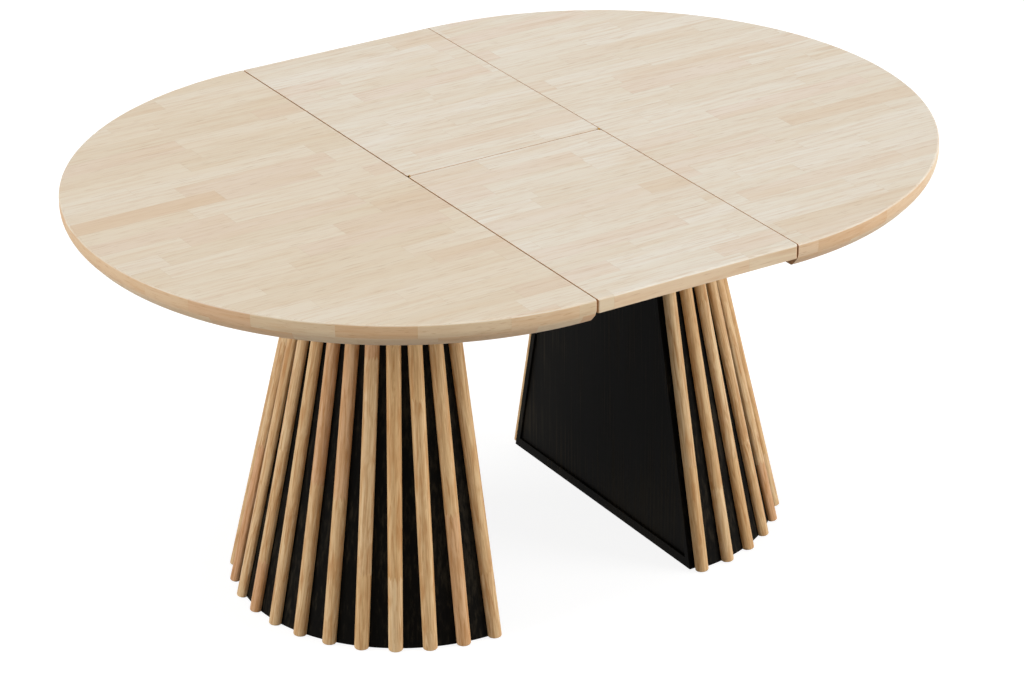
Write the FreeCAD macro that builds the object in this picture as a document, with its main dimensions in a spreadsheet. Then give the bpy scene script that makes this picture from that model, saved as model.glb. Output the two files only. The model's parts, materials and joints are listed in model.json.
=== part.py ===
# Round extending table with a self-storing butterfly leaf on two slatted half-cone pedestals.
# Frame: origin on the floor under the table's centre, +X along the extension, +Y to the back, +Z up.
import FreeCAD, Part
import math
import os
import Sketcher

doc = FreeCAD.newDocument("butterfly_leaf_table")
dims = doc.addObject("Spreadsheet::Sheet", "dims")
worked = doc.addObject("Spreadsheet::Sheet", "worked")

# Driving dimensions in millimetres; names that end in share are ratios, slat_count is a count.
SIZES = (
    # Tops and leaf
    ("top_radius", 600),
    ("leaf_width", 400),
    ("table_height", 760),
    ("board_thickness", 25),
    ("edge_chamfer", 2),
    ("rim_height", 20),
    ("rim_width", 50),
    ("bevel_run", 18.5),
    ("seam_gap", 3),
    ("fold_gap", 1.2),
    ("fold_round", 0.8),
    # Pedestals
    ("base_radius", 304),
    ("base_top_radius", 161),
    ("shell_wall", 10),
    ("face_setback", 1),
    ("face_depth", 19),
    ("face_inset", 7.5),
    ("stile_width", 12.5),
    ("bottom_rail", 18.5),
    ("top_rail", 30),
    ("panel_recess", 4),
    ("panel_thickness", 12),
    ("plate_thickness", 18),
    ("fit_clearance", 0.1),
    ("glide_height", 2),
    ("glide_side", 24),
    ("glide_inner_x_share", 0.14),
    ("glide_inner_y_share", 0.68),
    ("glide_outer_x_share", 0.66),
    ("glide_outer_y_share", 0.36),
    ("slat_width", 25.5),
    ("slat_depth", 15),
    ("slat_front_share", 0.525),
    ("slat_count", 17),
    # Runners, rails and bearers
    ("well_clearance", 4),
    ("hanger_sheet", 4),
    ("hanger_bar", 40),
    ("hanger_end_margin", 7),
    ("hanger_stem_half", 54),
    ("leaf_rest", 0.3),
    ("slide_clearance", 0.5),
    ("rail_width", 32),
    ("runner_wall", 4),
    ("runner_start", 5),
    ("runner_length", 345),
    ("rail_end_clearance", 10),
    ("over_travel", 30),
    ("peg_setback", 20),
    ("peg_radius", 4),
    ("peg_bite", 7),
    ("groove_clearance", 1),
    ("bearer_height", 49),
    ("bearer_width", 40),
    ("bearer_tip", 24),
    ("bearer_pass", 6),
    ("bearer_spacing", 70),
    ("bearer_headroom", 2.5),
    # Swing arms and their brackets
    ("stow_headroom", 5.4),
    ("stow_clearance", 1),
    ("cross_bar_inner", 20),
    ("cross_bar_width", 20),
    ("cross_bar_height", 24),
    ("arm_sheet", 4),
    ("arm_width", 16),
    ("arm_spacing", 190),
    ("side_clearance", 0.5),
    ("bracket_setback", 19),
    ("bracket_sheet", 2.5),
    ("bracket_foot", 40),
    ("bracket_flange", 24),
    ("bracket_head_gap", 0.7),
    ("pin_drop", 40),
    ("pin_radius", 4),
    ("pin_head", 2.5),
    ("pin_head_radius", 7),
    ("running_clearance", 0.05),
    # Fold hinges
    ("hinge_lift", 0.3),
    ("hinge_pin_radius", 0.8),
    ("hinge_sheet", 2.5),
    ("hinge_length", 40),
    ("hinge_bar_top", 3.5),
    ("hinge_bar_height", 10),
    ("hinge_ear", 2.4),
    ("knuckle_radius", 1.7),
    ("knuckle_gap", 0.1),
    ("overrun", 10),
)

# Lengths worked out from the driving dimensions, in the order that they build on each other.
WORKED = (
    ("seam_x", "dims.leaf_width / 2"),
    ("leaf_half", "worked.seam_x - dims.seam_gap"),
    ("underside", "dims.table_height - dims.board_thickness"),
    ("folded_gap", "2 * dims.hinge_lift"),
    ("leaf_drop", "2 * dims.board_thickness + worked.folded_gap + dims.stow_headroom"),
    ("stowed_z", "worked.underside - worked.leaf_drop"),
    ("runner_height", "worked.leaf_drop + dims.bracket_sheet + dims.bearer_headroom"),
    ("runner_z", "worked.underside - worked.runner_height"),
    ("base_top_z", "worked.runner_z - dims.bearer_height"),
    ("pedestal_height", "worked.base_top_z - dims.glide_height"),
    ("taper", "(dims.base_radius - dims.base_top_radius) / worked.pedestal_height"),
    ("axis_x", "worked.seam_x + dims.face_setback + dims.face_depth"),
    ("top_rail_z", "worked.pedestal_height - dims.top_rail"),
    ("face_low", "dims.base_radius - dims.face_inset"),
    ("face_high", "dims.base_top_radius - dims.face_inset"),
    ("opening_low", "worked.face_low - worked.taper * dims.bottom_rail - dims.stile_width"),
    ("opening_high", "worked.face_low - worked.taper * worked.top_rail_z - dims.stile_width"),
    ("half_step", "90deg / (dims.slat_count - 1)"),
    ("slat_back", "dims.base_radius + dims.fit_clearance"),
    ("slat_front_radius", "dims.slat_width * dims.slat_front_share"),
    ("slat_half", "dims.slat_width / 2"),
    ("slat_crown", "worked.slat_front_radius - sqrt(worked.slat_front_radius^2 - worked.slat_half^2)"),
    ("slat_side", "dims.slat_depth - worked.slat_crown"),
    ("well_half", "dims.top_radius / 2 + dims.well_clearance"),
    ("rail_y", "worked.well_half + dims.hanger_sheet"),
    ("rail_back", "worked.rail_y + dims.rail_width"),
    ("runner_lip", "worked.rail_y + dims.slide_clearance"),
    ("runner_inner", "worked.rail_back + dims.slide_clearance"),
    ("runner_back", "worked.runner_inner + dims.runner_wall"),
    ("rim_inner", "dims.top_radius - dims.rim_width"),
    ("rail_half", "dims.runner_start + dims.runner_length - dims.rail_end_clearance"),
    ("rail_z", "worked.runner_z + dims.runner_wall + dims.slide_clearance"),
    ("rail_height", "worked.runner_height - 2 * (dims.runner_wall + dims.slide_clearance)"),
    ("peg_z", "worked.rail_z + worked.rail_height / 2"),
    ("groove_half", "dims.peg_radius + dims.groove_clearance"),
    ("groove_near", "dims.runner_start + dims.peg_setback - worked.groove_half"),
    ("peg_x", "worked.seam_x + dims.runner_start + dims.peg_setback"),
    ("groove_far", "worked.peg_x + dims.over_travel + worked.groove_half"),
    ("bearer_setback", "dims.hanger_stem_half + dims.bearer_pass"),
    ("cross_bar_outer", "dims.cross_bar_inner + dims.cross_bar_width"),
    ("cross_bar_z", "worked.stowed_z - dims.stow_clearance - dims.cross_bar_height"),
    ("hanger_half", "worked.leaf_half - dims.hanger_end_margin"),
    ("hanger_top", "worked.underside - dims.leaf_rest"),
    ("hanger_shoulder", "worked.hanger_top - dims.hanger_bar"),
    ("arm_x", "worked.cross_bar_outer + dims.side_clearance"),
    ("arm_outer", "worked.arm_x + dims.arm_sheet"),
    ("shaft_half", "worked.arm_outer + dims.slide_clearance"),
    ("shaft_end", "worked.shaft_half + dims.pin_head"),
    ("bracket_x", "worked.shaft_end + dims.bracket_head_gap"),
    ("bracket_outer", "worked.bracket_x + dims.bracket_sheet"),
    ("stow_shift", "dims.top_radius / 2"),
    ("arm_length", "hypot(worked.stow_shift; worked.leaf_drop) / 2"),
    ("arm_angle", "180deg - atan(worked.leaf_drop / worked.stow_shift)"),
    ("front_pin_y", "dims.bracket_setback - worked.well_half"),
    ("rear_pin_y", "worked.front_pin_y + dims.arm_spacing"),
    ("front_pivot_y", "worked.front_pin_y + worked.stow_shift / 2"),
    ("rear_pivot_y", "worked.rear_pin_y + worked.stow_shift / 2"),
    ("pin_z", "worked.underside - dims.pin_drop"),
    ("pivot_z", "worked.pin_z - worked.leaf_drop / 2"),
    ("fold_half", "dims.fold_gap / 2"),
    ("knuckle_sheet", "(dims.hinge_sheet - dims.knuckle_gap) / 2"),
)


def fill_sheet(sheet, rows, lead):
    for row, (alias, content) in enumerate(rows, 1):
        sheet.set(f"A{row}", alias)
        sheet.set(f"B{row}", f"{lead}{content}")
        sheet.setAlias(f"B{row}", alias)


fill_sheet(dims, SIZES, "")
doc.recompute()
fill_sheet(worked, WORKED, "=")
doc.recompute()


def value(expression):
    """The number that an expression in the two sheets stands for."""
    found = worked.evalExpression(expression)
    return float(getattr(found, "Value", found))


def place(item, x="0", y="0", z="0"):
    for axis, expression in zip("xyz", (x, y, z)):
        item.setExpression(f"Placement.Base.{axis}", expression)


def new_body(label, x="0", y="0", z="0"):
    body = doc.addObject("PartDesign::Body", label)
    body.Label = label
    body.AllowCompound = True
    place(body, x, y, z)
    return body


def new_sketch(body, plane, offset="0"):
    """A sketch on one of the body's own planes: XY, XZ (normal -Y) or YZ (normal +X)."""
    sketch = body.newObject("Sketcher::SketchObject", f"{body.Name}_sketch")
    support = next(item for item in body.Origin.OriginFeatures if item.Role == f"{plane}_Plane")
    sketch.AttachmentSupport = (support, [""])
    sketch.MapMode = "FlatFace"
    sketch.setExpression("AttachmentOffset.Base.z", offset)
    return sketch


def bind(sketch, constraint, expression):
    sketch.setExpression(f"Constraints[{constraint}]", expression)


def fix_point(sketch, geometry, end, x, y):
    """Holds one point of a sketch at two expressions, or on an axis where the expression is 0."""
    for kind, axis, expression in (("DistanceX", -2, x), ("DistanceY", -1, y)):
        if expression == "0":
            sketch.addConstraint(Sketcher.Constraint("PointOnObject", geometry, end, axis))
        else:
            rule = Sketcher.Constraint(kind, -1, 1, geometry, end, value(expression))
            bind(sketch, sketch.addConstraint(rule), expression)


def arc_between(start, finish, radius):
    """The short arc of that radius from start to finish, anticlockwise."""
    middle = (start + finish) * 0.5
    half = (finish - start) * 0.5
    rise = math.sqrt(radius ** 2 - half.Length ** 2) / half.Length
    centre = middle + FreeCAD.Vector(-half.y, half.x, 0) * rise
    circle = Part.Circle(centre, FreeCAD.Vector(0, 0, 1), radius)
    return Part.ArcOfCircle(circle, circle.parameter(start), circle.parameter(finish))


def outline(sketch, corners):
    """Closes an outline through corners (x, y), or (x, y, radius) for an anticlockwise arc to it."""
    first = sketch.GeometryCount
    points = [FreeCAD.Vector(value(corner[0]), value(corner[1]), 0) for corner in corners]
    count = len(corners)
    for index, corner in enumerate(corners):
        start = points[index - 1]
        if len(corner) == 3:
            edge = sketch.addGeometry(arc_between(start, points[index], value(corner[2])))
            rule = Sketcher.Constraint("Radius", edge, value(corner[2]))
            bind(sketch, sketch.addConstraint(rule), corner[2])
        else:
            sketch.addGeometry(Part.LineSegment(start, points[index]))
    for index, corner in enumerate(corners):
        following = first + (index + 1) % count
        sketch.addConstraint(Sketcher.Constraint("Coincident", first + index, 2, following, 1))
        fix_point(sketch, first + index, 2, corner[0], corner[1])


def rectangle(sketch, x_low, y_low, x_high, y_high):
    outline(sketch, ((x_low, y_low), (x_high, y_low), (x_high, y_high), (x_low, y_high)))


def circle(sketch, x, y, radius):
    centre = FreeCAD.Vector(value(x), value(y), 0)
    index = sketch.addGeometry(Part.Circle(centre, FreeCAD.Vector(0, 0, 1), value(radius)))
    bind(sketch, sketch.addConstraint(Sketcher.Constraint("Radius", index, value(radius))), radius)
    fix_point(sketch, index, 3, x, y)


def hexagon(sketch, radius):
    """A bolt head's outline about the sketch's origin."""
    rise = f"{radius} * sin(60deg)"
    outline(sketch, (
        (radius, "0"),
        (f"{radius} / 2", rise),
        (f"-{radius} / 2", rise),
        (f"-{radius}", "0"),
        (f"-{radius} / 2", f"-{rise}"),
        (f"{radius} / 2", f"-{rise}"),
    ))


def pad(body, sketch, length):
    made = body.newObject("PartDesign::Pad", f"{body.Name}_pad")
    made.Profile = sketch
    made.setExpression("Length", length)
    doc.recompute()
    return made


def pocket(body, sketch, length, reverse=False):
    before = body.Shape.Volume
    made = body.newObject("PartDesign::Pocket", f"{body.Name}_pocket")
    made.Profile = sketch
    made.Reversed = reverse
    made.setExpression("Length", length)
    doc.recompute()
    if not body.Shape.Volume < before:
        raise ValueError(f"{made.Name} cut nothing from {body.Label}")
    return made


def half_turn(body, corners):
    """Turns a section on the YZ plane half a turn about Z, to the +X side."""
    sketch = new_sketch(body, "YZ")
    outline(sketch, corners)
    made = body.newObject("PartDesign::Revolution", f"{body.Name}_turn")
    made.Profile = sketch
    made.ReferenceAxis = (sketch, ["V_Axis"])
    made.Angle = 180
    made.Reversed = True
    doc.recompute()
    return made


def round_axis(body, feature, name):
    """Repeats a feature over half a turn about the body's Z axis, once for each slat."""
    row = body.newObject("PartDesign::PolarPattern", name)
    row.Originals = [feature]
    row.Axis = (next(item for item in body.Origin.OriginFeatures if item.Role == "Z_Axis"), [""])
    row.Angle = 180
    row.setExpression("Occurrences", "dims.slat_count")
    body.Tip = row
    doc.recompute()
    return row


def mirrored(label, source, normal):
    made = doc.addObject("Part::Mirroring", label)
    made.Label = label
    made.Source = source
    made.Normal = normal
    return made


def grouped(label, members):
    made = doc.addObject("Part::Compound", label)
    made.Label = label
    made.Links = members
    return made


ACROSS = FreeCAD.Vector(1, 0, 0)
BEHIND = FreeCAD.Vector(0, 1, 0)
nodes = []


def keep(*items):
    nodes.extend(items)


def keep_both_sides(name, right):
    """Keeps a right-hand piece and its mirror image on the left."""
    keep(right, mirrored(f"left_{name}", right, ACROSS))


# Half-round tops
def top_panel():
    body = new_body("right_top_panel", x="worked.seam_x", z="worked.underside")
    half_turn(body, (
        ("0", "0"),
        ("dims.top_radius", "0"),
        ("dims.top_radius", "dims.board_thickness - dims.edge_chamfer"),
        ("dims.top_radius - dims.edge_chamfer", "dims.board_thickness"),
        ("0", "dims.board_thickness"),
    ))
    return body


def edge_rim():
    body = new_body("right_edge_rim", x="worked.seam_x", z="worked.underside - dims.rim_height")
    half_turn(body, (
        ("worked.rim_inner", "0"),
        ("dims.top_radius - dims.bevel_run", "0"),
        ("dims.top_radius", "dims.rim_height"),
        ("worked.rim_inner", "dims.rim_height"),
    ))
    return body


# Half-cone pedestal, drawn about the cone's axis and built of flat staves, one behind each slat
def pedestal_body(label):
    return new_body(label, x="worked.axis_x", z="dims.glide_height")


def staved_cone(label, low, high, inset="0"):
    """Half a cone with a flat behind each slat: a half disc with its sides planed to the taper."""
    body = pedestal_body(label)
    radius = f"(dims.base_radius - worked.taper * ({low}) - {inset})"
    top_radius = f"(dims.base_radius - worked.taper * ({high}) - {inset})"
    reach = f"{radius} / cos(worked.half_step)"
    corners = [("0", f"-{radius}")]
    for turn in range(1, 2 * int(value("dims.slat_count")) - 2, 2):
        angle = f"{turn} * worked.half_step"
        corners.append((f"{reach} * sin({angle})", f"-{reach} * cos({angle})"))
    disc = new_sketch(body, "XY", low)
    outline(disc, (*corners, ("0", radius)))
    pad(body, disc, f"{high} - ({low})")
    waste = new_sketch(body, "YZ", f"-{radius}")
    outline(waste, (
        (f"-{radius}", low),
        (f"-{top_radius}", high),
        (f"-{radius} - dims.overrun", high),
        (f"-{radius} - dims.overrun", low),
    ))
    planed = pocket(body, waste, f"2 * {radius}", reverse=True)
    round_axis(body, planed, f"{label}_planed")
    return body


def pedestal_shell():
    made = doc.addObject("Part::Cut", "right_pedestal_shell")
    made.Base = staved_cone("right_shell_outside", "0", "worked.pedestal_height")
    made.Tool = staved_cone("right_shell_inside", "0", "worked.pedestal_height", "dims.shell_wall")
    return made


def pedestal_plate(label, low, high):
    """A plate inside the shell, its edge cut to the shell's taper."""
    return staved_cone(label, low, high, "(dims.shell_wall + dims.fit_clearance)")


def face_frame():
    body = pedestal_body("right_face_frame")
    sketch = new_sketch(body, "YZ", "-dims.face_depth")
    outline(sketch, (
        ("-worked.face_low", "0"),
        ("worked.face_low", "0"),
        ("worked.face_high", "worked.pedestal_height"),
        ("-worked.face_high", "worked.pedestal_height"),
    ))
    outline(sketch, (
        ("-worked.opening_low", "dims.bottom_rail"),
        ("worked.opening_low", "dims.bottom_rail"),
        ("worked.opening_high", "worked.top_rail_z"),
        ("-worked.opening_high", "worked.top_rail_z"),
    ))
    pad(body, sketch, "dims.face_depth")
    return body


def face_panel():
    body = pedestal_body("right_face_panel")
    sketch = new_sketch(body, "YZ", "dims.panel_recess - dims.face_depth")
    low = "worked.opening_low - dims.fit_clearance"
    high = "worked.opening_high - dims.fit_clearance"
    outline(sketch, (
        (f"-({low})", "dims.bottom_rail + dims.fit_clearance"),
        (low, "dims.bottom_rail + dims.fit_clearance"),
        (high, "worked.top_rail_z - dims.fit_clearance"),
        (f"-({high})", "worked.top_rail_z - dims.fit_clearance"),
    ))
    pad(body, sketch, "dims.panel_thickness")
    return body


def slats():
    """Round-fronted slats with flat backs, leaning with the cone and spread over its half circle."""
    body = pedestal_body("right_slats")
    sketch = new_sketch(body, "XY")
    shoulder = "-worked.slat_back - worked.slat_side"
    outline(sketch, (
        ("-worked.slat_half", "-worked.slat_back"),
        ("-worked.slat_half", shoulder),
        ("worked.slat_half", shoulder, "worked.slat_front_radius"),
        ("worked.slat_half", "-worked.slat_back"),
    ))
    slat = pad(body, sketch, "worked.pedestal_height")
    slat.UseCustomVector = True
    slat.AlongSketchNormal = True
    slat.Direction = FreeCAD.Vector(0, 0, 1)
    slat.setExpression("Direction.y", "worked.taper")
    doc.recompute()
    round_axis(body, slat, "right_slats_row")
    return body


def floor_glides():
    glides = []
    for place_name, sides in (("inner", (-1, 1)), ("outer", (-1, 1))):
        for side in sides:
            glide = doc.addObject("Part::Box", f"right_{place_name}_glide")
            glide.setExpression("Length", "dims.glide_side")
            glide.setExpression("Width", "dims.glide_side")
            glide.setExpression("Height", "dims.glide_height")
            x = f"worked.axis_x + dims.base_radius * dims.glide_{place_name}_x_share"
            y = f"{side} * dims.base_radius * dims.glide_{place_name}_y_share"
            place(glide, f"{x} - dims.glide_side / 2", f"{y} - dims.glide_side / 2")
            glides.append(glide)
    return grouped("right_floor_glides", glides)


# Runners under the tops, with the bearers that stand on the pedestals
def rear_runner():
    body = new_body("right_rear_runner", x="worked.seam_x + dims.runner_start", z="worked.runner_z")
    sketch = new_sketch(body, "YZ")
    outline(sketch, (
        ("worked.runner_lip", "0"),
        ("worked.runner_back", "0"),
        ("worked.runner_back", "worked.runner_height"),
        ("worked.runner_lip", "worked.runner_height"),
        ("worked.runner_lip", "worked.runner_height - dims.runner_wall"),
        ("worked.runner_inner", "worked.runner_height - dims.runner_wall"),
        ("worked.runner_inner", "dims.runner_wall"),
        ("worked.runner_lip", "dims.runner_wall"),
    ))
    pad(body, sketch, "dims.runner_length")
    hole = new_sketch(body, "XZ", "-worked.runner_inner")
    radius = "dims.peg_radius + dims.running_clearance"
    circle(hole, "dims.peg_setback", "worked.peg_z - worked.runner_z", radius)
    pocket(body, hole, "dims.runner_wall + dims.overrun")
    return body


def stop_pegs():
    """Pegs through the runners' webs that end the travel in the rails' grooves."""
    peg = new_body("right_rear_stop_peg", "worked.peg_x", "0", "worked.peg_z")
    sketch = new_sketch(peg, "XZ", "-worked.runner_back")
    circle(sketch, "0", "0", "dims.peg_radius")
    pad(peg, sketch, "dims.runner_wall + dims.slide_clearance + dims.peg_bite")
    return grouped("right_stop_pegs", [peg, mirrored("right_front_stop_peg", peg, BEHIND)])


def bearer(label, setback):
    body = new_body(label, x=f"worked.seam_x + {setback}", z="worked.base_top_z")
    sketch = new_sketch(body, "YZ")
    foot = "dims.base_top_radius - dims.shell_wall"
    tip = "dims.bearer_height - dims.bearer_tip"
    outline(sketch, (
        (f"-({foot})", "0"),
        (foot, "0"),
        ("worked.runner_back", tip),
        ("worked.runner_back", "dims.bearer_height"),
        ("-worked.runner_back", "dims.bearer_height"),
        ("-worked.runner_back", tip),
    ))
    pad(body, sketch, "dims.bearer_width")
    return body


# Centre carrier: two rails, their hangers, two cross-bars and the pivot shafts
def rear_centre_rail():
    body = new_body("rear_centre_rail", x="-worked.rail_half")
    sketch = new_sketch(body, "YZ")
    top = "worked.rail_z + worked.rail_height"
    rectangle(sketch, "worked.rail_y", "worked.rail_z", "worked.rail_back", top)
    pad(body, sketch, "2 * worked.rail_half")
    low = "worked.peg_z - worked.groove_half"
    high = "worked.peg_z + worked.groove_half"
    near, far = "worked.groove_near", "worked.groove_far"
    for start, finish in ((f"-{far}", f"-{near}"), (near, far)):
        groove = new_sketch(body, "XZ", "-worked.rail_back")
        rectangle(groove, f"worked.rail_half + {start}", low, f"worked.rail_half + {finish}", high)
        pocket(body, groove, "dims.peg_bite + dims.groove_clearance", reverse=True)
    return body


def rear_hanger():
    body = new_body("rear_hanger")
    sketch = new_sketch(body, "XZ", "-worked.rail_y")
    outline(sketch, (
        ("-dims.hanger_stem_half", "worked.cross_bar_z"),
        ("dims.hanger_stem_half", "worked.cross_bar_z"),
        ("dims.hanger_stem_half", "worked.hanger_shoulder"),
        ("worked.hanger_half", "worked.hanger_shoulder"),
        ("worked.hanger_half", "worked.hanger_top"),
        ("-worked.hanger_half", "worked.hanger_top"),
        ("-worked.hanger_half", "worked.hanger_shoulder"),
        ("-dims.hanger_stem_half", "worked.hanger_shoulder"),
    ))
    pad(body, sketch, "dims.hanger_sheet")
    return body


def cross_bar():
    body = new_body("right_cross_bar", x="dims.cross_bar_inner")
    sketch = new_sketch(body, "YZ")
    top = "worked.cross_bar_z + dims.cross_bar_height"
    rectangle(sketch, "-worked.well_half", "worked.cross_bar_z", "worked.well_half", top)
    for pivot in ("worked.front_pivot_y", "worked.rear_pivot_y"):
        circle(sketch, pivot, "worked.pivot_z", "dims.pin_radius + dims.running_clearance")
    pad(body, sketch, "dims.cross_bar_width")
    return body


def pivot_shaft(label, pivot_y):
    body = new_body(label, "0", pivot_y, "worked.pivot_z")
    shaft = new_sketch(body, "YZ", "-worked.shaft_end")
    circle(shaft, "0", "0", "dims.pin_radius")
    pad(body, shaft, "2 * worked.shaft_end")
    for start in ("-worked.shaft_end", "worked.shaft_half"):
        head = new_sketch(body, "YZ", start)
        hexagon(head, "dims.pin_head_radius")
        pad(body, head, "dims.pin_head")
    return body


# Parallel swing arms, drawn along +Y and turned to where the leaf rests
def swing_arms(label, pivot_y):
    arm = new_body(f"{label}_right", "worked.arm_x", pivot_y, "worked.pivot_z")
    arm.Placement.Rotation = FreeCAD.Rotation(FreeCAD.Vector(1, 0, 0), value("worked.arm_angle"))
    arm.setExpression("Placement.Rotation.Angle", "worked.arm_angle")
    bar = new_sketch(arm, "YZ")
    rectangle(bar, "0", "-dims.arm_width / 2", "worked.arm_length", "dims.arm_width / 2")
    pad(arm, bar, "dims.arm_sheet")
    for along in ("0", "worked.arm_length"):
        end = new_sketch(arm, "YZ")
        circle(end, along, "0", "dims.arm_width / 2")
        pad(arm, end, "dims.arm_sheet")
    for along in ("0", "worked.arm_length"):
        hole = new_sketch(arm, "YZ")
        circle(hole, along, "0", "dims.pin_radius + dims.running_clearance")
        pocket(arm, hole, "dims.arm_sheet", reverse=True)
    return grouped(label, [arm, mirrored(f"{label}_left", arm, ACROSS)])


# Folding leaf: the front board rides on the arms, the rear board folds over it
def leaf_front_panel():
    body = new_body("leaf_front_panel", x="-worked.leaf_half", z="worked.underside")
    sketch = new_sketch(body, "YZ")
    outline(sketch, (
        ("-dims.top_radius", "0"),
        ("-worked.fold_half", "0"),
        ("-worked.fold_half", "dims.board_thickness - dims.fold_round"),
        ("-worked.fold_half - dims.fold_round", "dims.board_thickness", "dims.fold_round"),
        ("dims.edge_chamfer - dims.top_radius", "dims.board_thickness"),
        ("-dims.top_radius", "dims.board_thickness - dims.edge_chamfer"),
    ))
    pad(body, sketch, "2 * worked.leaf_half")
    far = "-worked.fold_half - dims.hinge_length - dims.fit_clearance"
    ear = "-worked.fold_half - dims.hinge_ear - dims.fit_clearance"
    top = "dims.board_thickness - dims.hinge_bar_top + dims.fit_clearance"
    low = "dims.board_thickness - dims.hinge_bar_top - dims.hinge_bar_height - dims.fit_clearance"
    high = "dims.board_thickness + dims.overrun"
    for end, inward in (("0", True), ("2 * worked.leaf_half", False)):
        mortise = new_sketch(body, "YZ", end)
        outline(mortise, (
            (far, low),
            ("dims.overrun", low),
            ("dims.overrun", high),
            (ear, high),
            (ear, top),
            (far, top),
        ))
        pocket(body, mortise, "dims.hinge_sheet", reverse=inward)
    return body


# Offset knife hinges at the ends of the fold line, with their pin just above the top surface
def knife_plate(label, layer):
    """A plate let into the leaf's end, with a knuckle in one of the two layers of its thickness."""
    plate = new_body(label, x="worked.leaf_half - dims.hinge_sheet", z="dims.table_height")
    bar = new_sketch(plate, "YZ")
    far = "-worked.fold_half - dims.hinge_length"
    low = "-dims.hinge_bar_top - dims.hinge_bar_height"
    rectangle(bar, far, low, "-worked.fold_half", "-dims.hinge_bar_top")
    pad(plate, bar, "dims.hinge_sheet")
    neck = new_sketch(plate, "YZ", layer)
    outline(neck, (
        ("-worked.fold_half - dims.hinge_ear", "-dims.hinge_bar_top"),
        ("0", "-dims.hinge_bar_top"),
        ("0", "dims.hinge_lift"),
        ("-dims.knuckle_radius", "dims.hinge_lift"),
    ))
    pad(plate, neck, "worked.knuckle_sheet")
    knuckle = new_sketch(plate, "YZ", layer)
    circle(knuckle, "0", "dims.hinge_lift", "dims.knuckle_radius")
    pad(plate, knuckle, "worked.knuckle_sheet")
    return plate


def front_hinge_plates():
    """The front board's plates, each with the pin."""
    plate = knife_plate("leaf_front_hinge_right", "0")
    pin = new_sketch(plate, "YZ")
    circle(pin, "0", "dims.hinge_lift", "dims.hinge_pin_radius")
    pad(plate, pin, "dims.hinge_sheet")
    other = mirrored("leaf_front_hinge_left", plate, ACROSS)
    return grouped("leaf_front_hinge_plates", [plate, other])


def rear_hinge_plates():
    """The rear board's plates with the pin's hole, drawn on the front board and mirrored."""
    plate = knife_plate("leaf_rear_hinge_turned", "dims.hinge_sheet - worked.knuckle_sheet")
    hole = new_sketch(plate, "YZ")
    circle(hole, "0", "dims.hinge_lift", "dims.hinge_pin_radius + dims.running_clearance")
    pocket(plate, hole, "dims.hinge_sheet", reverse=True)
    right = mirrored("leaf_rear_hinge_right", plate, BEHIND)
    left = mirrored("leaf_rear_hinge_left", right, ACROSS)
    return grouped("leaf_rear_hinge_plates", [right, left])


def arm_bracket(label, pin_y):
    """Folded sheet bracket under the front leaf: a flange and a tapered web with the pin's hole."""
    body = new_body(label, "worked.bracket_x", pin_y, "worked.pin_z")
    half = "dims.arm_width / 2"
    foot = f"dims.bracket_foot - {half}"
    web = new_sketch(body, "YZ")
    outline(web, ((f"-{half}", "0"), (half, "0"), (foot, "dims.pin_drop"), (f"-{half}", "dims.pin_drop")))
    pad(body, web, "dims.bracket_sheet")
    flange = new_sketch(body, "YZ")
    rectangle(flange, f"-{half}", "dims.pin_drop - dims.bracket_sheet", foot, "dims.pin_drop")
    pad(body, flange, "dims.bracket_flange")
    nose = new_sketch(body, "YZ")
    circle(nose, "0", "0", half)
    pad(body, nose, "dims.bracket_sheet")
    hole = new_sketch(body, "YZ")
    circle(hole, "0", "0", "dims.pin_radius + dims.running_clearance")
    pocket(body, hole, "dims.bracket_sheet", reverse=True)
    return body


def bracket_pin(label, pin_y):
    body = new_body(label, "worked.arm_x", pin_y, "worked.pin_z")
    shank = new_sketch(body, "YZ")
    circle(shank, "0", "0", "dims.pin_radius")
    pad(body, shank, "worked.bracket_outer - worked.arm_x + dims.pin_head")
    head = new_sketch(body, "YZ", "worked.bracket_outer - worked.arm_x")
    hexagon(head, "dims.pin_head_radius")
    pad(body, head, "dims.pin_head")
    return body


def four_of(label, make):
    """A front and a rear piece on the right, with their mirror images on the left."""
    members = []
    for row, pin_y in (("front", "worked.front_pin_y"), ("rear", "worked.rear_pin_y")):
        piece = make(f"{label}_{row}_right", pin_y)
        members += [piece, mirrored(f"{label}_{row}_left", piece, ACROSS)]
    return grouped(label, members)


# Left and right halves
keep_both_sides("top_panel", top_panel())
keep_both_sides("edge_rim", edge_rim())
keep_both_sides("pedestal_shell", pedestal_shell())
keep_both_sides("face_frame", face_frame())
keep_both_sides("face_panel", face_panel())
keep_both_sides("bottom_plate", pedestal_plate("right_bottom_plate", "0", "dims.plate_thickness"))
plate_z = "worked.pedestal_height - dims.plate_thickness"
keep_both_sides("top_plate", pedestal_plate("right_top_plate", plate_z, "worked.pedestal_height"))
keep_both_sides("slats", slats())
keep_both_sides("floor_glides", floor_glides())
back_runner = rear_runner()
keep_both_sides("rear_runner", back_runner)
keep_both_sides("front_runner", mirrored("right_front_runner", back_runner, BEHIND))
keep_both_sides("stop_pegs", stop_pegs())
keep_both_sides("inner_bearer", bearer("right_inner_bearer", "worked.bearer_setback"))
outer_setback = "worked.bearer_setback + dims.bearer_spacing"
keep_both_sides("outer_bearer", bearer("right_outer_bearer", outer_setback))

# Centre carrier
back_rail = rear_centre_rail()
keep(back_rail, mirrored("front_centre_rail", back_rail, BEHIND))
back_hanger = rear_hanger()
keep(back_hanger, mirrored("front_hanger", back_hanger, BEHIND))
keep_both_sides("cross_bar", cross_bar())
keep(pivot_shaft("front_pivot_shaft", "worked.front_pivot_y"))
keep(pivot_shaft("rear_pivot_shaft", "worked.rear_pivot_y"))

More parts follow.
